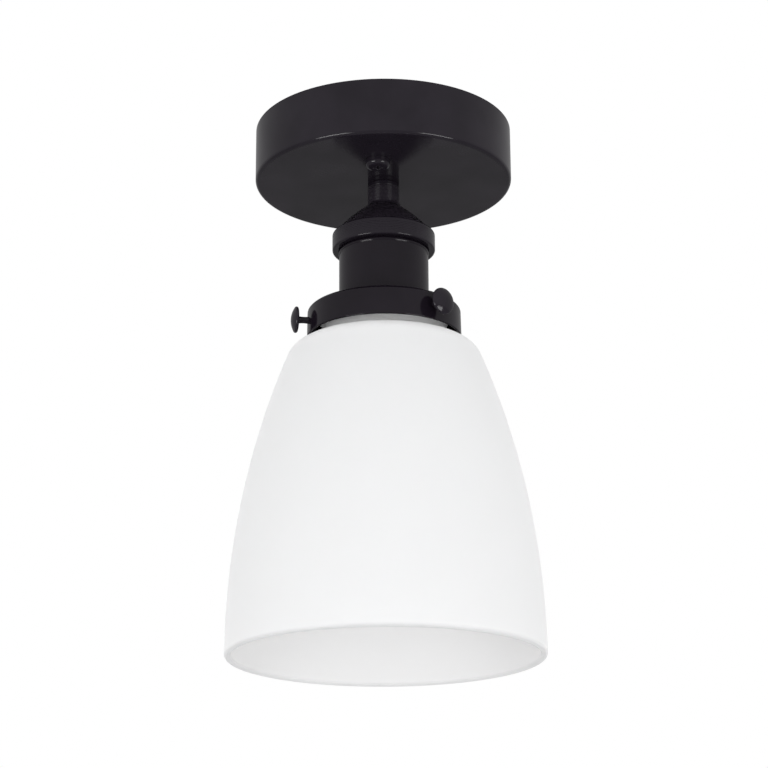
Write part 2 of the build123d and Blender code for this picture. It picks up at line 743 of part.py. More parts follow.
def block_screws():
    """Clamp screws: down on the leads, and backed out on the supply side."""
    screws = []
    for y in pole_places:
        for side, low in ((-1, bare_diameter / 2 + thread_clearance), (1, tube_bore / 2)):
            x = block_offset + side * clamp_spacing / 2
            top = tube_axis + low + clamp_length
            screw = rod(clamp_diameter / 2, tube_axis + low, top, x, y)
            screws.append(screw - Pos(x, y, 0) * Rot(0, -90, 0) * driver_slot(top))
    return Part() + screws


stud = thumb_screw_stud()
head = thumb_screw_head()
pieces = {
    "canopy": canopy(),
    "crossbar": crossbar(),
    "canopy_screws": canopy_screws(),
    "ground_screw": ground_screw(),
    "earth_lug": earth_lug(),
    "threaded_nipple": threaded_nipple(),
    "lock_nut": lock_nut(),
    "split_washer": split_washer(),
    "spacer_collar": spacer_collar(),
    "lampholder_cap": lampholder_cap(),
    "cap_set_screw": cap_set_screw(),
    "union_ring": union_ring(),
    "socket_shell": socket_shell(),
    "porcelain_insulator": porcelain_insulator(),
    "screw_shell": screw_shell(),
    "contact_anchor": contact_anchor(),
    "contact_leaf": contact_leaf(),
    "contact_rivets": contact_rivets(),
    "pillar_terminals": pillar_terminals(),
    "terminal_screws": terminal_screws(),
    "gallery": gallery(),
    "gallery_ring": gallery_ring(),
    "glass_shade": glass_shade(),
    "live_lead": lead("live_lead", lamp_route(1, live_arch, live_pole)),
    "neutral_lead": lead("neutral_lead", lamp_route(-1, neutral_arch, neutral_pole)),
    "earth_lead": lead("earth_lead", earth_route()),
    "lead_ends": lead_ends(),
    "terminal_block": terminal_block(),
    "block_tubes": block_tubes(),
    "block_screws": block_screws(),
}
for number, angle in enumerate(screw_angles, start=1):
    pieces[f"thumb_screw_stud_{number}"] = radial(stud, angle, screw_axis)
    pieces[f"thumb_screw_head_{number}"] = radial(head, angle, screw_axis)

os.makedirs("parts", exist_ok=True)
for name, shape in pieces.items():
    export_step(shape, f"parts/{name}.step")
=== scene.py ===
from math import atan2, cos, pi, radians, sin, sqrt, tan

import bmesh
import bpy
import numpy as np
from mathutils import Matrix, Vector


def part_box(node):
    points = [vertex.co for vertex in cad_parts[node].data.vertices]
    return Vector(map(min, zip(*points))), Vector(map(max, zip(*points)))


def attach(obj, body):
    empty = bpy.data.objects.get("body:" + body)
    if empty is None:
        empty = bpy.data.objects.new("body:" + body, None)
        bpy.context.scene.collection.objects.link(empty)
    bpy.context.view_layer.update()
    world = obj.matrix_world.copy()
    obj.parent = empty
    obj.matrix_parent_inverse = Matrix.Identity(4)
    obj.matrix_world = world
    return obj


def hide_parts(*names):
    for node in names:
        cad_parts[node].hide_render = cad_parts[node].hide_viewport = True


# Semi-flush ceiling light, from the ceiling down. Metres, +Z up, origin on the ceiling.
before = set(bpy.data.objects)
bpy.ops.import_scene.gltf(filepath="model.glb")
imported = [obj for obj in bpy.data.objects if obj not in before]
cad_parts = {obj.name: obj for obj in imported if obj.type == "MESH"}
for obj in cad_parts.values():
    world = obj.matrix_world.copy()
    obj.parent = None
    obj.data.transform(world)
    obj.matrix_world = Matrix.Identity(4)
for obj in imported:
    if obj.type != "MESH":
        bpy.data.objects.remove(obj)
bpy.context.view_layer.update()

# Crossbar
# Slotted steel strap that is screwed to the ceiling box. It is stamped from rolled sheet and
# bright zinc plated, so it is bluish silver with faint rolling lines and a cloudy bloom.
mm = 0.001


class Wire:
    """One output socket in a material's node tree. Arithmetic on it adds Math nodes."""

    def __init__(self, tree, socket):
        self.tree = tree
        self.socket = socket

    def node(self, kind, settings, inputs, output=0):
        """Adds a node of that kind: first its settings, then the values or links of its sockets."""
        made = self.tree.nodes.new(kind)
        for key, value in settings.items():
            setattr(made, key, value)
        for key, value in inputs.items():
            if isinstance(value, Wire):
                self.tree.links.new(value.socket, made.inputs[key])
            else:
                made.inputs[key].default_value = value
        return Wire(self.tree, made.outputs[output])

    def math(self, operation, *values):
        return self.node("ShaderNodeMath", {"operation": operation}, dict(enumerate(values)))

    def __add__(self, other):
        return self.math("ADD", self, other)

    def __radd__(self, other):
        return self.math("ADD", other, self)

    def __mul__(self, other):
        return self.math("MULTIPLY", self, other)

    def __rmul__(self, other):
        return self.math("MULTIPLY", other, self)

    def noise(self, scale, detail=3.0):
        """Cloudy noise from 0 to 1, with scale lumps to the metre."""
        return self.node("ShaderNodeTexNoise", {}, {"Vector": self, "Scale": scale, "Detail": detail})

    def height(self):
        """Z of a place."""
        return self.node("ShaderNodeSeparateXYZ", {}, {"Vector": self}, output=2)

    def stretched(self, x, y, z):
        """Places drawn out or squeezed along the axes."""
        return self.node("ShaderNodeMapping", {}, {"Vector": self, "Scale": (x, y, z)})

    def between(self, low, high):
        """From 0 at low to 1 at high, with a smooth middle."""
        inputs = {"Value": self, "From Min": low, "From Max": high}
        return self.node("ShaderNodeMapRange", {"interpolation_type": "SMOOTHSTEP"}, inputs)

    def blend(self, first, second):
        """The first colour where this is 0 and the second where it is 1."""
        colours = [colour if isinstance(colour, Wire) else (*colour, 1) for colour in (first, second)]
        inputs = {0: self, 6: colours[0], 7: colours[1]}
        return self.node("ShaderNodeMix", {"data_type": "RGBA"}, inputs, output=2)

    def bump(self, depth):
        """Surface normal over this height, depth metres from 0 to 1."""
        return self.node("ShaderNodeBump", {}, {"Height": self, "Distance": depth, "Strength": 1.0})


def new_finish(name, constants):
    """A material with the constant sockets set. Returns it, its shader and the object's places."""
    material = bpy.data.materials.new(name)
    material.use_nodes = True
    tree = material.node_tree
    shader = tree.nodes["Principled BSDF"]
    for socket, value in constants.items():
        shader.inputs[socket].default_value = value
    places = tree.nodes.new("ShaderNodeTexCoord").outputs["Object"]
    return material, shader, Wire(tree, places)


def feed(shader, links):
    """Links what changes over the surface to the shader."""
    for socket, wire in links.items():
        wire.tree.links.new(wire.socket, shader.inputs[socket])


def plated(name, bright, dull, lines=(1.0, 1.0, 1.0), polish_and_rim_shade=0.22):
    """Plated metal: a cloudy bloom between two colours, and fine lines along the rolling direction."""
    material, shader, place = new_finish(name, {"Metallic": 1.0})
    bloom = place.noise(260.0, detail=5.0).between(0.35, 0.7)
    rolling = place.stretched(*lines).noise(1400.0, detail=2.0)
    feed(shader, {
        "Base Color": (bloom * 0.7 + rolling * 0.3).blend(bright, dull),
        "Roughness": polish_and_rim_shade + bloom * 0.16 + rolling * 0.08,
        "Normal": rolling.bump(0.004 * mm),
    })
    return material


def fit(piece, finish, body, node):
    """The piece gets its finish, moves with the body and stands for the solid named."""
    piece.data.materials.clear()
    piece.data.materials.append(finish)
    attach(piece, body)
    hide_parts(node)


def welded(mesh, flatness=0.0):
    """Joins the mesh's points that lie in one place, and its faces that are flat to each other within the
    angle flatness."""
    work = bmesh.new()
    work.from_mesh(mesh)
    bmesh.ops.remove_doubles(work, verts=work.verts, dist=0.001 * mm)
    if flatness:
        bmesh.ops.dissolve_limit(work, angle_limit=flatness, verts=work.verts, edges=work.edges)
    work.to_mesh(mesh)
    work.free()


def finished(piece):
    """Turns the piece's modifiers into its mesh."""
    before = piece.data
    state = piece.evaluated_get(bpy.context.evaluated_depsgraph_get())
    piece.data = bpy.data.meshes.new_from_object(state)
    piece.modifiers.clear()
    piece.data.name = piece.name
    bpy.data.meshes.remove(before)


def softened(name, node, edge, finish, body="fixture"):
    """A stamped, moulded or turned piece as its solid is, with its triangles joined into whole faces and
    each sharp edge rounded over to the edge's width, as tumbling or the mould leaves it."""
    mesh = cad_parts[node].data.copy()
    welded(mesh, flatness=radians(0.5))
    piece = bpy.data.objects.new(name, mesh)
    bpy.context.scene.collection.objects.link(piece)
    bevel = piece.modifiers.new("edge", "BEVEL")
    bevel.width = edge
    bevel.segments = 3
    bevel.limit_method = "ANGLE"
    bevel.angle_limit = radians(40)
    finished(piece)
    piece.data.shade_smooth()
    piece.data.set_sharp_from_angle(angle=radians(38))
    fit(piece, finish, body, node)


zinc_plate = plated("zinc_plate", bright=(0.62, 0.64, 0.66), dull=(0.44, 0.45, 0.46), lines=(1.0, 0.04, 1.0))
softened("crossbar_strap", "crossbar", 0.25 * mm, zinc_plate)

# Earth connection
# A ring lug crimped on the earth lead, held under the crossbar by a pan-head screw. The lug is
# tinned copper and the screw is zinc plated and dyed green, as earth screws are.
green_dye = plated("green_dye", bright=(0.05, 0.30, 0.10), dull=(0.03, 0.19, 0.06), polish_and_rim_shade=0.28)
tin_plate = plated("tin_plate", bright=(0.66, 0.64, 0.60), dull=(0.50, 0.48, 0.45), polish_and_rim_shade=0.34)
softened("earth_screw", "ground_screw", 0.2 * mm, green_dye)
softened("earth_ring_lug", "earth_lug", 0.12 * mm, tin_plate)


# Canopy
# Cup drawn from steel sheet, with a round lower edge and an open top against the ceiling.
# It is powder coated satin black, with the fine orange peel of a sprayed coat.
def rounded(*corners, steps=7):
    """Points of a closed outline through (radius, height, fillet) corners, corner by corner. Each corner
    is an arc tangent to both its edges, with one more point a little way along each edge, which keeps
    the flats flat."""
    corners = np.array(corners, float)
    point, fillet = corners[:, :2], corners[:, 2:]
    back = np.roll(point, 1, 0) - point
    ahead = np.roll(point, -1, 0) - point
    back /= np.linalg.norm(back, axis=1, keepdims=True)
    ahead /= np.linalg.norm(ahead, axis=1, keepdims=True)
    half_angle = np.arccos(np.sum(back * ahead, 1, keepdims=True)) / 2
    reach = fillet / np.tan(half_angle)
    middle = (back + ahead) / np.linalg.norm(back + ahead, axis=1, keepdims=True)
    centre = point + middle * fillet / np.sin(half_angle)
    start = (point + back * reach - centre)[:, None]
    end = (point + ahead * reach - centre)[:, None]
    turn = (pi - 2 * half_angle)[:, None]
    share = np.linspace(0, 1, steps)[None, :, None]
    swing = np.sin((1 - share) * turn) * start + np.sin(share * turn) * end
    flat = reach + 0.35 * fillet
    before = (point + back * flat)[:, None]
    after = (point + ahead * flat)[:, None]
    return np.concatenate([before, centre[:, None] + swing / np.sin(turn), after], 1)


def outline(*stretches):
    """One outline of (radius, height) points from its stretches, in order."""
    return np.vstack([np.reshape(stretch, (-1, 2)) for stretch in stretches])


def skin(name, grid, poles=False):
    """Mesh over a grid of points whose columns go round. Its rows close on themselves, or with poles
    the first and last rows are one point each, where the faces are triangles."""
    rows, columns = grid.shape[:2]
    if poles:
        points = np.vstack([grid[0, :1], grid[1:-1].reshape(-1, 3), grid[-1, :1]])
        index = np.empty((rows, columns), int)
        index[0] = 0
        index[1:-1] = 1 + np.arange((rows - 2) * columns).reshape(rows - 2, columns)
        index[-1] = len(points) - 1
        low, high = index[:-1], index[1:]
    else:
        points = grid.reshape(-1, 3)
        low = np.arange(rows * columns).reshape(rows, columns)
        high = np.roll(low, -1, 0)
    faces = np.stack([low, np.roll(low, -1, 1), np.roll(high, -1, 1), high], -1)
    if poles:
        polygons = faces[1:-1].reshape(-1, 4).tolist()
        polygons += faces[0][:, [0, 2, 3]].tolist() + faces[-1][:, [0, 1, 2]].tolist()
    else:
        polygons = faces.reshape(-1, 4).tolist()
    mesh = bpy.data.meshes.new(name)
    mesh.from_pydata(points.tolist(), [], polygons)
    mesh.shade_smooth()
    piece = bpy.data.objects.new(name, mesh)
    bpy.context.scene.collection.objects.link(piece)
    return piece


def turned(name, profile, columns=192, shape=None, poles=False, place=None):
    """Lathe work: profile point (r, z) at angle a goes to (r cos a, r sin a, z), after shape has changed
    its r and z if there is one. The profile runs anticlockwise, so that faces look outwards, and
    place is the 4 x 4 matrix that puts the work where it belongs."""
    angle = np.arange(columns) * 2 * pi / columns
    radius = np.repeat(profile[:, :1], columns, 1)
    height = np.repeat(profile[:, 1:], columns, 1)
    if shape:
        radius, height = shape(radius, height, angle)
    grid = np.stack([radius * np.cos(angle), radius * np.sin(angle), height], -1)
    if place is not None:
        move = np.array(place)
        grid = grid @ move[:3, :3].T + move[:3, 3]
    return skin(name, grid, poles)


def bored(piece, *bores):
    """Takes the bores away from a piece, and keeps the new edges sharp."""
    for bore in bores:
        cut = piece.modifiers.new("bore", "BOOLEAN")
        cut.object = bore
        cut.operation = "DIFFERENCE"
        cut.solver = "EXACT"
    finished(piece)
    welded(piece.data)
    piece.data.set_sharp_from_angle(angle=radians(35))
    for bore in bores:
        bpy.data.objects.remove(bore)


def round_bar(name, radius, start, end, place):
    """Plain bar along its own Z axis from start to end."""
    profile = np.array([(0, start), (radius, start), (radius, end), (0, end)])
    return turned(name, profile, columns=50, poles=True, place=place)


def satin_black(name, colour, turning_depth=0.0, sheen=0.0, roughness=0.3):
    """Sprayed satin black under a thin gloss: orange peel in the height, cloudy gloss, and lines round the
    axis where the metal below was turned."""
    material, shader, place = new_finish(name, {"Specular IOR Level": sheen, "Coat Roughness": 0.13})
    peel = place.noise(1500.0, detail=2.0)
    cloud = place.noise(42.0, detail=4.0)
    turning = place.stretched(0.02, 0.02, 1.0).noise(3200.0, detail=2.0)
    dark = [0.86 * channel for channel in colour]
    light = [1.14 * channel for channel in colour]
    feed(shader, {
        "Base Color": cloud.between(0.3, 0.7).blend(dark, light),
        "Roughness": roughness - 0.05 + cloud * 0.06 + peel * 0.04,
        "Coat Weight": 0.26 + cloud * 0.08,
        "Normal": (peel * 0.005 + turning * (turning_depth / mm)).bump(mm),
    })
    return material


paint_colour = (0.0132, 0.0106, 0.0152)
black_paint = satin_black("black_paint", paint_colour)
thread_gap = 0.05 * mm
broken_edge = 0.1 * mm
canopy_wall = 1.2 * mm
canopy_edge = 1.8 * mm
canopy_bend = 0.3 * mm
canopy_low, canopy_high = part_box("canopy")
canopy_floor = canopy_low.z + canopy_wall
canopy_inside = canopy_high.x - canopy_wall
nipple_low, nipple_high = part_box("threaded_nipple")
nipple_hole = nipple_high.x + thread_gap
canopy = turned("canopy_cup", outline(rounded(
    (nipple_hole, canopy_low.z, broken_edge), (canopy_high.x, canopy_low.z, canopy_edge),
    (canopy_high.x, canopy_high.z, canopy_bend), (canopy_inside, canopy_high.z, canopy_bend),
    (canopy_inside, canopy_floor, canopy_bend), (nipple_hole, canopy_floor, broken_edge))), columns=256)
screw_hole = 2.3 * mm
screw_head_low, screw_head_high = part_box("canopy_screws")
screw_reach = screw_head_high.y - screw_head_high.x
screw_seats = [Matrix.Translation((0, side * screw_reach, 0)) for side in (-1, 1)]
hole_foot = canopy_low.z - canopy_wall
hole_top = canopy_floor + canopy_wall
bored(canopy, *[round_bar("screw_hole", screw_hole, hole_foot, hole_top, seat) for seat in screw_seats])
fit(canopy, black_paint, "fixture", "canopy")


# Canopy screws
# Two round-edged screws up through the canopy's floor into the crossbar. Their heads are
# cold formed with a cross recess and coated black with the canopy, and their threads are rolled.
def thread(pitch, depth, low, high, inside=0.0):
    """Shape of a rolled thread: beyond the radius inside, the radius falls by up to depth on a wave that
    climbs one pitch a turn, and that fades out within half a pitch of its ends."""
    def shape(radius, height, angle):
        fade = np.clip(np.minimum(height - low, high - height) * 2 / pitch, 0, 1)
        wave = 0.5 - 0.5 * np.cos(2 * pi * height / pitch - angle)
        return np.where(radius > inside, radius - depth * fade * wave, radius), height
    return shape


def along(start, end, count):
    """Evenly spaced outline points from one place to another."""
    return np.linspace(start, end, count)


head_height = 3.6 * mm
head_edge = 2.0 * mm
shank_radius = 2.0 * mm
shank_pitch = 0.7 * mm
shank_depth = 0.38 * mm
recess_length = 4.6 * mm
recess_width = 1.0 * mm
recess_depth = 1.2 * mm
recess_slope = 0.3 * mm
recess_reach = recess_length / 2 + 1.5 * recess_slope
head_radius = screw_head_high.x
head_foot = screw_head_low.z
head_top = head_foot + head_height
shank_top = screw_head_high.z


def ramp(distance):
    """From 0 outside a recess wall to 1 inside it."""
    return np.clip(0.5 - distance / recess_slope, 0, 1)


def screw_shape(radius, height, angle):
    """The shank's thread, and the cross recess: two crossed slots pressed up into the face."""
    x, y = np.abs(radius * np.cos(angle)), np.abs(radius * np.sin(angle))
    arm = ramp(x - recess_length / 2) * ramp(y - recess_width / 2)
    cross = np.maximum(arm, ramp(y - recess_length / 2) * ramp(x - recess_width / 2))
    on_face = height < head_foot + broken_edge / 10
    radius, height = thread(shank_pitch, shank_depth, head_top, shank_top)(radius, height, angle)
    return radius, np.where(on_face, height + recess_depth * cross, height)


head_corners = rounded(
    (0, head_foot, 0), (head_radius, head_foot, head_edge), (head_radius, head_top, broken_edge),
    (shank_radius, head_top, broken_edge), (shank_radius, shank_top, broken_edge), (0, shank_top, 0), steps=9)
shank_side = along((shank_radius, head_top + 2 * broken_edge),
                   (shank_radius, shank_top - 2 * broken_edge), count=240)
screw_outline = outline(along((0, head_foot), (recess_reach, head_foot), count=34), head_corners[1:4],
                        shank_side, head_corners[4], (0, shank_top))
for number, seat in enumerate(screw_seats, start=1):
    screw = turned(f"canopy_screw_{number}", screw_outline, columns=96, shape=screw_shape, poles=True,
                   place=seat)
    fit(screw, black_paint, "fixture", "canopy_screws")

# Threaded nipple, lock nut and split washer
# Hollow threaded tube that joins canopy and lampholder and carries the leads. A chamfered
# hexagon nut on a spring washer holds it inside the canopy. All three are zinc plated.
nipple_bore = 3.7 * mm
nipple_pitch = 1.0 * mm
nipple_depth = 0.45 * mm
nipple_edge = 0.35 * mm
turned_plate = plated("turned_plate", bright=(0.60, 0.62, 0.64), dull=(0.42, 0.43, 0.44))
nipple_corners = rounded(
    (nipple_bore, nipple_low.z, broken_edge), (nipple_high.x, nipple_low.z, nipple_edge),
    (nipple_high.x, nipple_high.z, nipple_edge), (nipple_bore, nipple_high.z, broken_edge))
nipple_side = along((nipple_high.x, nipple_low.z + 1.5 * nipple_edge),
                    (nipple_high.x, nipple_high.z - 1.5 * nipple_edge), count=150)
nipple_outline = outline(nipple_corners[:2], nipple_side, nipple_corners[2:])
nipple_thread = thread(nipple_pitch, nipple_depth, nipple_low.z, nipple_high.z, nipple_bore + nipple_edge)
nipple = turned("nipple_tube", nipple_outline, columns=96, shape=nipple_thread)
fit(nipple, turned_plate, "fixture", "threaded_nipple")

nut_low, nut_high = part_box("lock_nut")
nut_flat = min(nut_high.x, nut_high.y)
nut_corner = nut_flat / cos(pi / 6)
nut_turn = 0.0 if nut_high.x > nut_high.y else pi / 6


def hexagon(radius, height, angle):
    """Six flats: the outline's radius is drawn in to the hexagon, and both faces fall away at 30 degrees
    beyond the circle that touches the flats."""
    around = (angle - nut_turn) % (pi / 3) - pi / 6
    edge = nut_flat / np.cos(around)
    radius = nipple_hole + (radius - nipple_hole) * (edge - nipple_hole) / (nut_corner - nipple_hole)
    fall = np.maximum(radius - nut_flat, 0) * tan(pi / 6)
    return radius, np.clip(height, nut_low.z + fall, nut_high.z - fall)


nut_outline = outline(along((nipple_hole, nut_low.z), (nut_corner, nut_low.z), count=24),
                      along((nut_corner, nut_high.z), (nipple_hole, nut_high.z), count=24))
nut = turned("nut_hexagon", nut_outline, columns=96, shape=hexagon)
nut.data.set_sharp_from_angle(angle=radians(25))
fit(nut, turned_plate, "fixture", "lock_nut")
softened("spring_washer", "split_washer", 0.12 * mm, turned_plate)

# Spacer collar
# Short turned collar that keeps the lampholder clear of the canopy. Its edges are broken, and it is
# coated black with the canopy.
collar_low, collar_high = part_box("spacer_collar")
collar_edge = 0.4 * mm
collar = turned("collar_ring", outline(rounded(
    (nipple_hole, collar_low.z, broken_edge), (collar_high.x, collar_low.z, collar_edge),
    (collar_high.x, collar_high.z, collar_edge), (nipple_hole, collar_high.z, broken_edge))))
fit(collar, black_paint, "fixture", "spacer_collar")

# Lampholder cap
# Neck boss, filleted throat, bowed cone and threaded skirt spun in one piece, screwed on the nipple
# and coated black. A slotted grub screw in the back of the boss stops it from unscrewing.
# Painted light: the cap's black is a lighter copy of the canopy's coat, lifting the shade that falls on the
# cone under the canopy.
neck_colour_painted_light = (0.0175, 0.0140, 0.0198)
neck_black_painted_light = satin_black("neck_black_painted_light", neck_colour_painted_light, turning_depth=0.1 * mm, sheen=0.4, roughness=0.24)
cap_low, cap_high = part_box("lampholder_cap")
ring_low, ring_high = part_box("union_ring")
boss_radius = 7.4 * mm
boss_height = 8.8 * mm
throat_radius = 2.5 * mm
cone_bulge = 0.8 * mm
cap_wall = 1.6 * mm
skirt_wall = 1.5 * mm
ring_wall = 1.5 * mm
boss_edge = 0.3 * mm
cone_radius = cap_high.x
cone_foot = ring_high.z
skirt_radius = ring_high.x - ring_wall - thread_gap
skirt_bore = skirt_radius - skirt_wall
boss_top = cap_high.z
boss_foot = boss_top - boss_height


def bow(start, end, rise):
    """Arc from start to end that stands rise off its chord, on the right-hand side: centre and radius."""
    start, end = np.array(start), np.array(end)
    chord = end - start
    length = np.hypot(*chord)
    radius = (length ** 2 / 4 + rise ** 2) / (2 * rise)
    right = np.array([chord[1], -chord[0]]) / length
    return (start + end) / 2 - right * (radius - rise), radius


def bearing(centre, point):
    """Angle of a point as seen from a centre."""
    return atan2(point[1] - centre[1], point[0] - centre[0])


def swept(centre, radius, start, end, count):
    """Arc about a centre between two angles."""
    swing = np.linspace(start, end, count)
    return np.array(centre) + radius * np.stack([np.cos(swing), np.sin(swing)], 1)


cone_end = np.array([cone_radius, cone_foot])
boss_end = np.array([boss_radius, boss_foot])
cone_centre, cone_arc = bow(cone_end, boss_end, cone_bulge)
throat_out = boss_radius + throat_radius
throat_drop = sqrt((cone_arc + throat_radius) ** 2 - (throat_out - cone_centre[0]) ** 2)
throat_centre = np.array([throat_out, cone_centre[1] + throat_drop])
throat_bearing = bearing(cone_centre, throat_centre)
cone_slope = (boss_end - cone_end) / np.linalg.norm(boss_end - cone_end)
hollow_top = boss_end + cap_wall * np.array([-cone_slope[1], cone_slope[0]])
hollow_share = (skirt_bore - hollow_top[0]) / (cone_radius - boss_radius)
hollow_end = np.array([skirt_bore, hollow_top[1] - hollow_share * (boss_foot - cone_foot)])
hollow_centre, hollow_arc = bow(hollow_end, hollow_top, cone_bulge * hollow_share ** 2)
skirt_corners = rounded((*hollow_end, broken_edge), (skirt_bore, cap_low.z, broken_edge),
                        (skirt_radius, cap_low.z, broken_edge), (skirt_radius, cone_foot, broken_edge / 2),
                        (*cone_end, broken_edge / 2), (*boss_end, broken_edge))
boss_corners = rounded((*boss_end, broken_edge), (boss_radius, boss_top, boss_edge),
                       (nipple_hole, boss_top, broken_edge), (nipple_hole, hollow_top[1], broken_edge),
                       (*hollow_top, broken_edge))
cap_outline = outline(
    skirt_corners[1:4],
    swept(cone_centre, cone_arc, bearing(cone_centre, cone_end), throat_bearing, count=40),
    swept(throat_centre, throat_radius, throat_bearing + pi, pi, count=12),
    boss_corners[1:4],
    swept(hollow_centre, hollow_arc, bearing(hollow_centre, hollow_top), bearing(hollow_centre, hollow_end),
          count=40))
cap = turned("cap_cone", cap_outline)
set_screw_low, set_screw_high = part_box("cap_set_screw")
set_screw_height = (set_screw_low.z + set_screw_high.z) / 2
set_screw_bore = set_screw_high.x + thread_gap
set_screw_seat = Matrix.Translation((0, 0, set_screw_height)) @ Matrix.Rotation(-pi / 2, 4, "X")
bored(cap, round_bar("set_screw_bore", set_screw_bore, nipple_hole / 2, 2 * boss_radius, set_screw_seat))
fit(cap, neck_black_painted_light, "fixture", "lampholder_cap")
softened("grub_screw", "cap_set_screw", 0.15 * mm, black_paint)

# Union ring
# Turned ring that screws up the cap's skirt and lifts the shell's flange against it. Its round
# edges and the fine marks of the turning tool show through the black coat.
turned_black = satin_black("turned_black", paint_colour, turning_depth=0.012 * mm)
shell_radius = 20.75 * mm
shell_gap = 0.2 * mm
ring_lip = 1.8 * mm
ring_edge = 0.9 * mm
ring_mark = 0.8 * mm
ring_mark_depth = 0.05 * mm
ring_bore = ring_high.x - ring_wall
ring_passage = shell_radius + shell_gap
lip_top = ring_low.z + ring_lip
ring_corners = rounded((ring_passage, ring_low.z, 2 * broken_edge), (ring_high.x, ring_low.z, ring_edge),
                       (ring_high.x, ring_high.z, ring_edge), (ring_bore, ring_high.z, broken_edge),
                       (ring_bore, lip_top, broken_edge), (ring_passage, lip_top, broken_edge))
ring_side = along((ring_high.x, ring_low.z + 1.4 * ring_edge),
                  (ring_high.x, ring_high.z - 1.4 * ring_edge), count=120)
ring_marks = thread(ring_mark, ring_mark_depth, ring_low.z + ring_edge, ring_high.z - ring_edge,
                    ring_bore + ring_wall / 2)
ring_outline = outline(ring_corners[:2], ring_side, ring_corners[2:])
ring = turned("union_ring_turned", ring_outline, columns=224, shape=ring_marks)
fit(ring, turned_black, "fixture", "union_ring")

# Socket shell
# Flanged tube that hangs in the union ring, rolled over at the top and stepped in below to a threaded
# nose, which takes the gallery. It is turned, then coated black.
shell_low, shell_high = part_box("socket_shell")
shell_wall = 1.3 * mm
nose_step = 1.75 * mm
nose_pitch = 1.5 * mm
nose_depth = 0.45 * mm
roll_height = 1.6 * mm
roll_rise = 0.32 * mm
shell_mark = 0.6 * mm
shell_mark_depth = 0.014 * mm
# Painted shade: the shell and gallery wear a darker copy of the canopy's black coat.
spun_colour_painted_shade = (0.0085, 0.0062, 0.0098)
spun_black_painted_shade = satin_black("spun_black_painted_shade", spun_colour_painted_shade, turning_depth=0.006 * mm)
gallery_low, gallery_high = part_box("gallery")
shell_shoulder = gallery_high.z
nose_radius = shell_radius - nose_step
nose_bore = nose_radius - shell_wall
shell_bore = shell_radius - shell_wall
porcelain_seat = shell_shoulder + shell_wall
roll_top = ring_low.z - shell_gap
roll_foot = roll_top - roll_height
roll_centre, roll_arc = bow((shell_radius, roll_foot), (shell_radius, roll_top), roll_rise)
roll_bearing = bearing(roll_centre, (shell_radius, roll_top))
shell_marks = thread(shell_mark, shell_mark_depth, shell_shoulder, roll_foot - broken_edge, shell_bore)
nose_thread = thread(nose_pitch, nose_depth, shell_low.z, shell_shoulder, nose_radius - shell_wall / 2)


def shell_shape(radius, height, angle):
    """The nose's thread below the shoulder and the turning marks above it."""
    cut, height = nose_thread(radius, height, angle)
    marked, height = shell_marks(radius, height, angle)
    return np.where(height < shell_shoulder, cut, marked), height


shell_corners = rounded(
    (nose_bore, shell_low.z, broken_edge), (nose_radius, shell_low.z, 3 * broken_edge),
    (nose_radius, shell_shoulder, broken_edge), (shell_radius, shell_shoulder, 2 * broken_edge),
    (shell_radius, lip_top, broken_edge), (skirt_radius, lip_top, broken_edge),
    (skirt_radius, shell_high.z, broken_edge), (shell_bore, shell_high.z, broken_edge),
    (shell_bore, porcelain_seat, broken_edge), (nose_bore, porcelain_seat, broken_edge))
nose_side = along((nose_radius, shell_low.z + 5 * broken_edge),
                  (nose_radius, shell_shoulder - 2 * broken_edge), count=90)
barrel_side = along((shell_radius, shell_shoulder + 4 * broken_edge),
                    (shell_radius, roll_foot - 3 * broken_edge), count=240)
roll = swept(roll_centre, roll_arc, -roll_bearing, roll_bearing, count=16)
shell_outline = outline(
    shell_corners[:2], nose_side, shell_corners[2:4], barrel_side, roll, shell_corners[4:])
shell = turned("shell_barrel", shell_outline, columns=224, shape=shell_shape)
fit(shell, spun_black_painted_shade, "fixture", "socket_shell")

# Porcelain insulator
# Stepped body that carries the contacts, pressed, glazed white and fired, so that its edges are soft
# and the glaze is thin and warm with a few dark specks.
porcelain_low, porcelain_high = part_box("porcelain_insulator")
lamp_low, lamp_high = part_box("screw_shell")
glaze_edge = 0.6 * mm
mouth_chamfer = 0.8 * mm
lamp_radius = lamp_high.x
cavity_radius = lamp_radius + shell_gap
cavity_top = lamp_high.z
lower_radius = nose_bore - shell_gap
upper_radius = shell_bore - shell_gap
glaze_white = (0.86, 0.84, 0.79)
speck_brown = (0.32, 0.25, 0.18)
glaze, glaze_shader, glaze_place = new_finish("glazed_porcelain", {
    "Coat Roughness": 0.05, "Roughness": 0.22, "Subsurface Weight": 0.12, "Subsurface Scale": 1.0 * mm})
speck = glaze_place.noise(900.0, detail=1.0).between(0.78, 0.82)
pool = glaze_place.noise(120.0, detail=3.0)
feed(glaze_shader, {
    "Base Color": speck.blend(glaze_white, speck_brown),
    "Coat Weight": 0.4 + pool * 0.4,
    "Normal": pool.bump(0.012 * mm),
})
porcelain_corners = rounded(
    (0, cavity_top, 0), (cavity_radius, cavity_top, glaze_edge),
    (cavity_radius, porcelain_low.z + mouth_chamfer, glaze_edge / 2),
    (cavity_radius + mouth_chamfer, porcelain_low.z, glaze_edge / 2),
    (lower_radius, porcelain_low.z, glaze_edge),
    (lower_radius, porcelain_seat, broken_edge), (upper_radius, porcelain_seat, broken_edge),
    (upper_radius, porcelain_high.z - mouth_chamfer, broken_edge),
    (upper_radius - mouth_chamfer, porcelain_high.z, broken_edge), (0, porcelain_high.z, 0))
porcelain_outline = outline((0, cavity_top), porcelain_corners[1:-1], (0, porcelain_high.z))
porcelain = turned("porcelain_body", porcelain_outline, columns=160, poles=True)
fit(porcelain, glaze, "fixture", "porcelain_insulator")

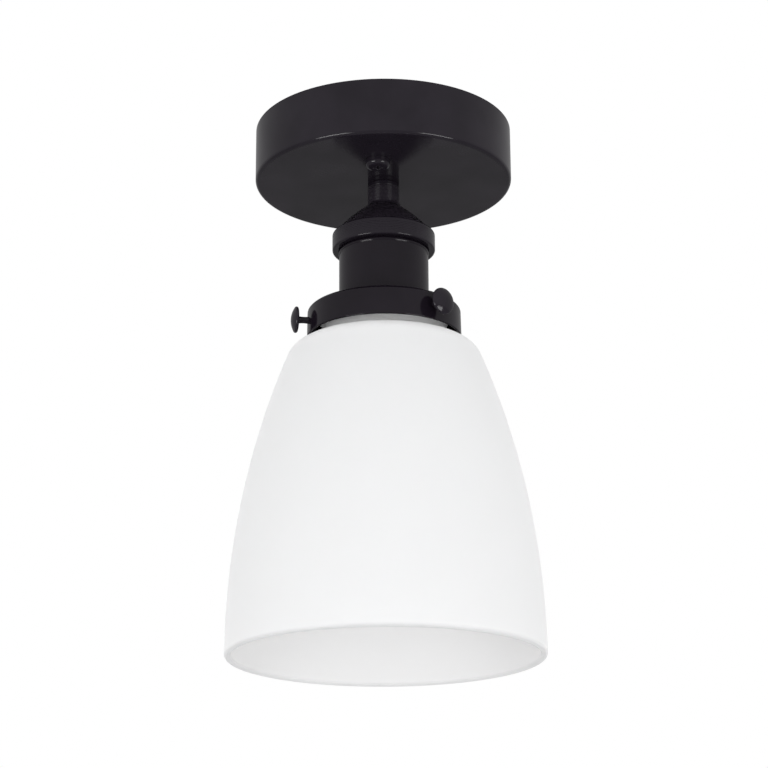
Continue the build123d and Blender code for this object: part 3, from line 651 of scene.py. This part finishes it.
# Screw shell
# Thin brass sleeve with the lamp's thread rolled into it, in the porcelain's cavity. A strip up
# its back ends in a tongue under the neutral rivet.
lamp_wall = 0.4 * mm
lamp_pitch = 3.63 * mm
lamp_thread_depth = 0.95 * mm
lamp_length = 20.5 * mm
lamp_rows = 110
lamp_bore = lamp_radius - lamp_wall
lamp_top = lamp_low.z + lamp_length
brass = plated("stamped_brass", bright=(0.78, 0.58, 0.25), dull=(0.60, 0.41, 0.15), polish_and_rim_shade=0.24)
lamp_outline = outline(along((lamp_radius, lamp_low.z), (lamp_radius, lamp_top), lamp_rows),
                       along((lamp_bore, lamp_top), (lamp_bore, lamp_low.z), lamp_rows))
rolled_thread = thread(lamp_pitch, lamp_thread_depth, lamp_low.z, lamp_top)
screw_shell = turned("lamp_thread", lamp_outline, columns=144, shape=rolled_thread)
screw_shell.data.set_sharp_from_angle(angle=radians(50))
fit(screw_shell, brass, "fixture", "screw_shell")


def band(name, path, width, thickness):
    """Flat strip along a path of (y, z) points: at each point a rectangle, width along X and thickness
    along the path's normal, and an end row drawn together to close it."""
    step = np.gradient(path, axis=0)
    step /= np.linalg.norm(step, axis=1, keepdims=True)
    normal = np.stack([-step[:, 1], step[:, 0]], 1)
    across = np.array([-0.5, 0.5, 0.5, -0.5]) * width
    through = np.array([0.5, 0.5, -0.5, -0.5])[None, :, None] * thickness
    section = path[:, None] + normal[:, None] * through
    sideways = np.broadcast_to(across[None, :, None], section.shape[:2] + (1,))
    grid = np.concatenate([sideways, section], 2)
    ends = grid[[0, -1]].mean(1, keepdims=True).repeat(4, 1)
    piece = skin(name, np.concatenate([ends[:1], grid, ends[1:]]), poles=True)
    piece.data.set_sharp_from_angle(angle=radians(30))
    return piece


tongue_width = 6.0 * mm
tongue_end = -5.5 * mm
tongue_bend = 0.8 * mm
tongue_level = cavity_top - lamp_wall / 2
tongue_corners = rounded((-lamp_bore, lamp_top, 0), (-lamp_bore, tongue_level, tongue_bend),
                         (tongue_end, tongue_level, 0))
tongue_path = outline((-lamp_bore, lamp_top), tongue_corners[1], (tongue_end, tongue_level))
tongue = band("shell_tongue", tongue_path, tongue_width, lamp_wall)
fit(tongue, brass, "fixture", "screw_shell")

# Centre contact
# A sprung brass leaf with a domed button, from a pad under the live rivet. It gives when a lamp
# is screwed in. The second rivet holds the screw shell's tongue.
softened("contact_pad", "contact_anchor", 0.1 * mm, brass)
softened("contact_spring", "contact_leaf", 0.1 * mm, brass, body="contact_leaf")
softened("contact_rivet_pair", "contact_rivets", 0.2 * mm, brass)

# Pillar terminals
# Two drawn brass pillars on top of the porcelain, one over each rivet. A lead's bare end goes in from
# above, and a plated screw clamps it from the side.
softened("brass_pillars", "pillar_terminals", 0.25 * mm, brass)
softened("pillar_screws", "terminal_screws", 0.15 * mm, turned_plate)

# Leads
# Live and neutral leads run from the pillars up through the nipple, over the nut and into the terminal
# block, and the earth lead from the block to the lug. Stranded copper in a smooth soft sleeve.
lead_radius = 1.0 * mm
lead_routes = {
    "live_lead": [(0, 9, -52.8), (0, 9, -48.5), (0, 1.6, -40.5), (0, 1.6, -13.4), (8, 3.4, -10.4),
                  (15.5, 7.2, -15.4), (20.1, 9, -19.3), (24.3, 9, -19.3)],
    "neutral_lead": [(0, -9, -52.8), (0, -9, -48.5), (0, -1.6, -40.5), (0, -1.6, -13.4), (8, -2.2, -10.4),
                     (15.5, -0.9, -15.4), (20.1, 0, -19.3), (24.3, 0, -19.3)],
    "earth_lead": [(24.3, -9, -19.3), (17.9, -9, -19.3), (16, -17, -4), (9.6, -17, -4)],
}
lead_sleeves = {
    "live_lead": ("black_sleeve", (0.016, 0.016, 0.017)),
    "neutral_lead": ("white_sleeve", (0.80, 0.79, 0.75)),
    "earth_lead": ("green_sleeve", (0.03, 0.22, 0.06)),
}


def sleeve(name, colour):
    """Extruded sleeve: faint dust in the colour and a drawn, slightly uneven gloss."""
    material, shader, place = new_finish(name, {"Specular IOR Level": 0.45})
    dust = place.noise(700.0, detail=4.0)
    dusty = [0.9 * channel + 0.02 for channel in colour]
    feed(shader, {
        "Base Color": dust.between(0.4, 0.75).blend(colour, dusty),
        "Roughness": 0.3 + dust * 0.2,
        "Normal": dust.bump(0.005 * mm),
    })
    return material


for name, route in lead_routes.items():
    curve = bpy.data.curves.new(f"{name}_sleeve", "CURVE")
    curve.dimensions = "3D"
    line = curve.splines.new("NURBS")
    line.points.add(len(route) - 1)
    control_points = np.hstack([np.array(route) * mm, np.ones((len(route), 1))])
    line.points.foreach_set("co", control_points.ravel())
    line.order_u = 3
    line.use_endpoint_u = True
    line.resolution_u = 16
    curve.bevel_depth = lead_radius
    curve.bevel_resolution = 6
    curve.use_fill_caps = True
    lead_line = bpy.data.objects.new(f"{name}_line", curve)
    tube = bpy.data.meshes.new_from_object(lead_line)
    bpy.data.objects.remove(lead_line)
    welded(tube)
    tube.shade_smooth()
    tube.set_sharp_from_angle(angle=radians(60))
    lead = bpy.data.objects.new(f"{name}_sleeve", tube)
    bpy.context.scene.collection.objects.link(lead)
    slot, colour = lead_sleeves[name]
    fit(lead, sleeve(f"{name}_sleeve", colour), "fixture", name)

copper_bright = (0.82, 0.42, 0.26)
copper_dull = (0.55, 0.24, 0.13)
copper, copper_shader, copper_place = new_finish("stranded_copper", {"Metallic": 1.0})
strands = copper_place.stretched(0.15, 1.0, 1.0).noise(6000.0, detail=2.0)
feed(copper_shader, {
    "Base Color": strands.blend(copper_bright, copper_dull),
    "Roughness": 0.22 + strands * 0.2,
    "Normal": strands.bump(0.04 * mm),
})
softened("stripped_ends", "lead_ends", 0.1 * mm, copper)

# Terminal block
# Three poles in one moulded nylon block on the canopy's floor: brass tubes inside, and plated clamp
# screws from above, down on the leads and backed out on the supply side.
nylon_white = (0.80, 0.80, 0.76)
nylon_cream = (0.74, 0.73, 0.68)
nylon, nylon_shader, nylon_place = new_finish("moulded_nylon", {
    "Subsurface Weight": 0.2, "Subsurface Scale": 1.5 * mm})
flow = nylon_place.noise(180.0, detail=3.0)
spark = nylon_place.noise(5000.0, detail=2.0)
feed(nylon_shader, {
    "Base Color": flow.between(0.3, 0.7).blend(nylon_white, nylon_cream),
    "Roughness": 0.38 + flow * 0.1 + spark * 0.06,
    "Normal": spark.bump(0.005 * mm),
})
softened("nylon_block", "terminal_block", 0.35 * mm, nylon)
softened("brass_tubes", "block_tubes", 0.08 * mm, brass)
softened("clamp_screws", "block_screws", 0.12 * mm, turned_plate)

# Gallery
# Round-shouldered cup, spun from sheet and coated black, that holds the glass by its neck. A threaded
# ring with spanner notches clamps it to the nose, and three burred bores take the thumb screws.
gallery_wall = 1.1 * mm
gallery_flare = 0.2 * mm
shoulder_height = 3.7 * mm
gallery_edge = 0.4 * mm
burr_wall = 1.2 * mm
burr_length = 2.0 * mm
gallery_ring_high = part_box("gallery_ring")[1]
gallery_rim = gallery_low.z
gallery_top = gallery_high.z
gallery_under = gallery_top - gallery_wall
gallery_side = gallery_top - shoulder_height
rim_radius = gallery_high.x
side_radius = rim_radius - gallery_flare
flat_radius = gallery_ring_high.x + shell_gap
nose_hole = nose_radius + shell_gap


def quarter(width, height, count):
    """Quarter ellipse from its side up to its top, about the shoulder's centre."""
    swing = np.linspace(0, pi / 2, count)
    return np.stack([flat_radius + width * np.cos(swing), gallery_side + height * np.sin(swing)], 1)


rim_corners = rounded((side_radius - gallery_wall, gallery_side, broken_edge),
                      (rim_radius - gallery_wall, gallery_rim, gallery_edge),
                      (rim_radius, gallery_rim, gallery_edge), (side_radius, gallery_side, broken_edge))
top_corners = rounded((flat_radius, gallery_top, broken_edge), (nose_hole, gallery_top, broken_edge),
                      (nose_hole, gallery_under, broken_edge), (flat_radius, gallery_under, broken_edge))
gallery_outline = outline(
    quarter(side_radius - flat_radius - gallery_wall, shoulder_height - gallery_wall, count=28)[::-1],
    rim_corners[1:3], quarter(side_radius - flat_radius, shoulder_height, count=36), top_corners[1:3])
gallery = turned("gallery_cup", gallery_outline, columns=224)
screw_angles = [radians(angle) for angle in (-45, 75, 195)]
stud_radius = 1.75 * mm
stud_bore = stud_radius + thread_gap
stud_low, stud_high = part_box("thumb_screw_stud_1")
screw_axis = (stud_low.z + stud_high.z) / 2


def outward(angle):
    """Place of work whose own Z axis points outwards at that angle, at the thumb screws' height."""
    turn = Matrix.Rotation(angle, 4, "Z") @ Matrix.Rotation(pi / 2, 4, "Y")
    return Matrix.Translation((0, 0, screw_axis)) @ turn


bored(gallery, *[round_bar("screw_bore", stud_bore, nose_hole, 2 * rim_radius, outward(angle))
                 for angle in screw_angles])
# The gallery and its burrs take the darker copy of the black coat, which is painted shade.
fit(gallery, spun_black_painted_shade, "fixture", "gallery")
burr_end = side_radius - gallery_wall / 2
burr_start = side_radius - gallery_wall - burr_length
burr_outline = outline(rounded(
    (stud_bore, burr_start, broken_edge), (stud_bore + burr_wall, burr_start, 3 * broken_edge),
    (stud_bore + burr_wall, burr_end, broken_edge), (stud_bore, burr_end, broken_edge)))
for number, angle in enumerate(screw_angles, start=1):
    burr = turned(f"gallery_burr_{number}", burr_outline, columns=64, place=outward(angle))
    fit(burr, spun_black_painted_shade, "fixture", "gallery")
softened("notched_ring", "gallery_ring", 0.2 * mm, turned_black)

# Glass shade
# Opal bell, blown in a mould and acid satined: white through and through, with a bead at its neck,
# a sloping shoulder, one long side arc and an open, fire-polished rim.
glass_low, glass_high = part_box("glass_shade")
glass_wall = 3.0 * mm
neck_radius = 28.8 * mm
neck_fillet = 2.6 * mm
bead_radius = 31.5 * mm
bead_height = 3.6 * mm
bead_turn_radius = 0.5 * mm
lip_radius = 1.0 * mm
neck_length = 11.4 * mm
shoulder_width = 12.64 * mm
corner_radius = 10.0 * mm
shoulder_slope = radians(11.1)
shade_radius = glass_high.x
neck_inside = neck_radius - glass_wall
bead_top = glass_high.z
bead_round = bead_height / 2
bead_foot = bead_top - bead_height
shoulder_top = bead_foot - neck_length
side_foot = glass_low.z + glass_wall / 2
side_inset = shade_radius - neck_radius - shoulder_width
side_arc = ((shoulder_top - side_foot) ** 2 + side_inset ** 2) / (2 * side_inset)
side_centre = np.array([shade_radius - side_arc, side_foot])
shoulder_out = np.array([sin(shoulder_slope), cos(shoulder_slope)])
shoulder_along = np.array([cos(shoulder_slope), -sin(shoulder_slope)])
corner_start = np.array([neck_radius, shoulder_top]) - shoulder_out * corner_radius
offset = corner_start - side_centre
toward = offset @ shoulder_along
corner_travel = -toward + sqrt(toward ** 2 - offset @ offset + (side_arc - corner_radius) ** 2)
corner_centre = corner_start + shoulder_along * corner_travel
side_bearing = bearing(side_centre, corner_centre)
shoulder_bearing = pi / 2 - shoulder_slope
fillet_rise = neck_fillet * (1 - sin(shoulder_slope)) / cos(shoulder_slope)
fillet_centre = np.array([neck_radius + neck_fillet, shoulder_top + fillet_rise])


def glass_face(inset):
    """Face of the glass moved into it by inset, from the rim up to the neck: side arc, corner arc and
    neck fillet, each about its own centre."""
    return outline(
        swept(side_centre, side_arc - inset, 0, side_bearing, count=72),
        swept(corner_centre, corner_radius - inset, side_bearing, shoulder_bearing, count=28)[1:],
        swept(fillet_centre, neck_fillet + inset, shoulder_bearing + pi, pi, count=16),
        along((neck_radius - inset, fillet_centre[1] + broken_edge),
              (neck_radius - inset, bead_foot - bead_turn_radius - broken_edge), count=8))


glass_outline = outline(
    glass_face(0.0),
    swept((neck_radius + bead_turn_radius, bead_foot - bead_turn_radius), bead_turn_radius, pi, pi / 2,
          count=8),
    swept((bead_radius - bead_round, bead_foot + bead_round), bead_round, -pi / 2, pi / 2, count=18),
    swept((neck_inside + lip_radius, bead_top - lip_radius), lip_radius, pi / 2, pi, count=10),
    glass_face(glass_wall)[::-1],
    swept((shade_radius - glass_wall / 2, side_foot), glass_wall / 2, -pi, 0, count=20)[1:-1])
shade = turned("opal_shade", glass_outline, columns=288)
milk_thin = (0.935, 0.93, 0.935)
milk_dense = (0.955, 0.95, 0.955)
# Painted shade: the glass's base colour turns grey over the last few millimetres above the rim, darkening the
# rim's outline.
rim_shade_colour = (0.66, 0.66, 0.67)
rim_shade_start = 2.2 * mm
rim_shade_full = 0.4 * mm
opal, opal_shader, opal_place = new_finish("opal_glass", {
    "Subsurface Weight": 0.9, "Subsurface Scale": 18.0 * mm, "Subsurface Radius": (1.0, 0.97, 0.95),
    "Specular IOR Level": 0.1})
milk = opal_place.noise(14.0, detail=3.0)
satin = opal_place.noise(2600.0, detail=2.0)
wave = opal_place.stretched(1.0, 1.0, 0.35).noise(60.0, detail=2.0)
# Painted shade mask: 0 a little above the rim, 1 at the rim, where the colour is grey.
polish_and_rim_shade = opal_place.height().between(glass_low.z + rim_shade_start, glass_low.z + rim_shade_full)
milky = milk.between(0.3, 0.7).blend(milk_thin, milk_dense)
feed(opal_shader, {
    "Base Color": polish_and_rim_shade.blend(milky, rim_shade_colour),
    "Roughness": 0.36 + satin * 0.08 + milk * 0.04,
    "Normal": (wave * 0.9 + satin * 0.1).bump(0.02 * mm),
})
fit(shade, opal, "fixture", "glass_shade")

# Thumb screws
# Three studs through the gallery, tight on the glass neck, each with a mushroom head to turn by hand.
# Turned steel, coated black, with a rolled thread on the stud and a waist below the head.
stud_tip = 29.0 * mm
stud_pitch = 0.6 * mm
stud_depth = 0.3 * mm
tip_chamfer = 0.4 * mm
shank_waist = 1.5 * mm
thread_inset = 1.0 * mm
head_back = 40.1 * mm
head_grip = 2.2 * mm
head_rim = 1.7 * mm
head_dome = 1.5 * mm
head_hub = 0.5 * mm
thumb_low, thumb_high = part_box("thumb_screw_head_1")
thumb_radius = (thumb_high.z - thumb_low.z) / 2
thumb_black = satin_black("thumb_screw_black", paint_colour, turning_depth=0.004 * mm)
stud_end = head_back + head_grip
thread_end = rim_radius - thread_inset
waist_start = np.array([stud_radius, thread_end + stud_depth])
waist_end = np.array([stud_radius, head_back])
waist_centre, waist_arc = bow(waist_end, waist_start, stud_radius - shank_waist)
stud_outline = outline(
    (0, stud_tip),
    along((0.6 * stud_radius, stud_tip), (stud_radius - tip_chamfer, stud_tip), count=3),
    along((stud_radius, stud_tip + tip_chamfer), (stud_radius, thread_end), count=110),
    swept(waist_centre, waist_arc, 2 * pi + bearing(waist_centre, waist_start),
          bearing(waist_centre, waist_end), count=28),
    along((stud_radius, head_back + thread_gap), (stud_radius, stud_end), count=3),
    (0, stud_end))
rim_round = head_rim / 2
rim_centre = np.array([thumb_radius - rim_round, head_back + rim_round])
dome_arc = rim_centre[0] ** 2 / (2 * head_dome) + rim_round + head_dome / 2
dome_centre = np.array([0, head_back + head_rim + head_dome - dome_arc])
dome_bearing = bearing(dome_centre, rim_centre)
head_bore = stud_radius + thread_gap
bore_end = stud_end + thread_gap
hub_corners = rounded((head_bore, bore_end, broken_edge), (head_bore, head_back - head_hub, broken_edge),
                      (head_bore + 2 * head_hub, head_back, broken_edge), (rim_centre[0], head_back, 0))
head_outline = outline(
    (0, bore_end), hub_corners[:3],
    swept(rim_centre, rim_round, -pi / 2, dome_bearing, count=18),
    swept(dome_centre, dome_arc, dome_bearing, pi / 2, count=26)[1:-1],
    (0, dome_centre[1] + dome_arc))
stud_thread = thread(stud_pitch, stud_depth, stud_tip, thread_end, 0.9 * stud_radius)
for number, angle in enumerate(screw_angles, start=1):
    seat = outward(angle)
    stud = turned(f"stud_{number}_turned", stud_outline, columns=64, shape=stud_thread, poles=True,
                  place=seat)
    fit(stud, thumb_black, f"screw_stud_{number}", f"thumb_screw_stud_{number}")
    head = turned(f"head_{number}_turned", head_outline, columns=128, poles=True, place=seat)
    fit(head, thumb_black, f"screw_head_{number}", f"thumb_screw_head_{number}")

# Studio
# Pale floor, a white surround, two key boxes that light the glass from the front, and two edge boxes
# that show only as highlights on the black. The camera stands where the photograph was taken from.
floor_height = -2.4
floor_half = 14.0
floor_dark = (0.57, 0.57, 0.57)
floor_light = (0.61, 0.61, 0.61)
floor_mesh = bpy.data.meshes.new("floor")
floor_corners = [(x * floor_half, y * floor_half, floor_height)
                 for x, y in ((-1, -1), (1, -1), (1, 1), (-1, 1))]
floor_mesh.from_pydata(floor_corners, [], [(0, 1, 2, 3)])
floor = bpy.data.objects.new("floor", floor_mesh)
bpy.context.scene.collection.objects.link(floor)
pale, pale_shader, floor_place = new_finish("pale_floor", {"Roughness": 0.9, "Specular IOR Level": 0.1})
feed(pale_shader, {"Base Color": floor_place.noise(1.5).blend(floor_dark, floor_light)})
floor_mesh.materials.append(pale)

fill_strength = 0.97
world = bpy.data.worlds.new("surround")
world.use_nodes = True
bpy.context.scene.world = world
world_tree = world.node_tree
world_tree.nodes.clear()
rays = world_tree.nodes.new("ShaderNodeLightPath")
seen = Wire(world_tree, rays.outputs["Is Camera Ray"])
glossy = Wire(world_tree, rays.outputs["Is Glossy Ray"])
refracted = Wire(world_tree, rays.outputs["Is Transmission Ray"])
shown = seen.math("MAXIMUM", seen.math("MAXIMUM", seen, glossy), refracted)
strength = fill_strength + (1 - fill_strength) * shown
surround = seen.node("ShaderNodeBackground", {}, {"Color": (1, 1, 1, 1), "Strength": strength})
world_output = world_tree.nodes.new("ShaderNodeOutputWorld")
world_tree.links.new(surround.socket, world_output.inputs["Surface"])

photo_turn = radians(4.9)
aim_height = -0.15
key_boxes = {
    "key_left": {"turn": -28, "distance": 2.0, "height": -0.7, "size": (0.66, 0.73), "watts": 9.5},
    "key_right": {"turn": 28, "distance": 2.0, "height": -1.15, "size": (0.66, 0.73), "watts": 13.0},
}
edge_boxes = {
    "edge_left": {"turn": -45, "distance": 1.15, "height": -0.65, "size": (0.62, 0.42), "watts": 11.5},
    "edge_right": {"turn": 48, "distance": 1.15, "height": -0.65, "size": (0.62, 0.42), "watts": 9.5},
}
for name, soft_box in (key_boxes | edge_boxes).items():
    lamp = bpy.data.lights.new(name, "AREA")
    lamp.shape = "RECTANGLE"
    lamp.size, lamp.size_y = soft_box["size"]
    lamp.energy = soft_box["watts"]
    stand = bpy.data.objects.new(name, lamp)
    around = Matrix.Rotation(photo_turn + radians(soft_box["turn"]), 4, "Z")
    out = Matrix.Translation((0, -soft_box["distance"], soft_box["height"]))
    aim = Matrix.Rotation(atan2(soft_box["distance"], soft_box["height"] - aim_height), 4, "X")
    stand.matrix_world = around @ out @ aim
    stand.visible_camera = False
    stand.visible_diffuse = name in key_boxes
    stand.visible_glossy = name in edge_boxes
    bpy.context.scene.collection.objects.link(stand)

camera_place = (-0.00021, -0.96021, -0.4338)
camera_rise = radians(17.854)
camera_roll = radians(-0.309)
camera_data = bpy.data.cameras.new("camera")
camera_data.sensor_fit = "HORIZONTAL"
camera_data.sensor_width = 36.0
camera_data.lens = 103.58
camera = bpy.data.objects.new("camera", camera_data)
view_turn = Matrix.Rotation(pi / 2 + camera_rise, 4, "X") @ Matrix.Rotation(camera_roll, 4, "Z")
camera.matrix_world = Matrix.Rotation(photo_turn, 4, "Z") @ Matrix.Translation(camera_place) @ view_turn
bpy.context.scene.collection.objects.link(camera)
bpy.context.scene.camera = camera
bpy.context.scene.view_settings.view_transform = "Standard"
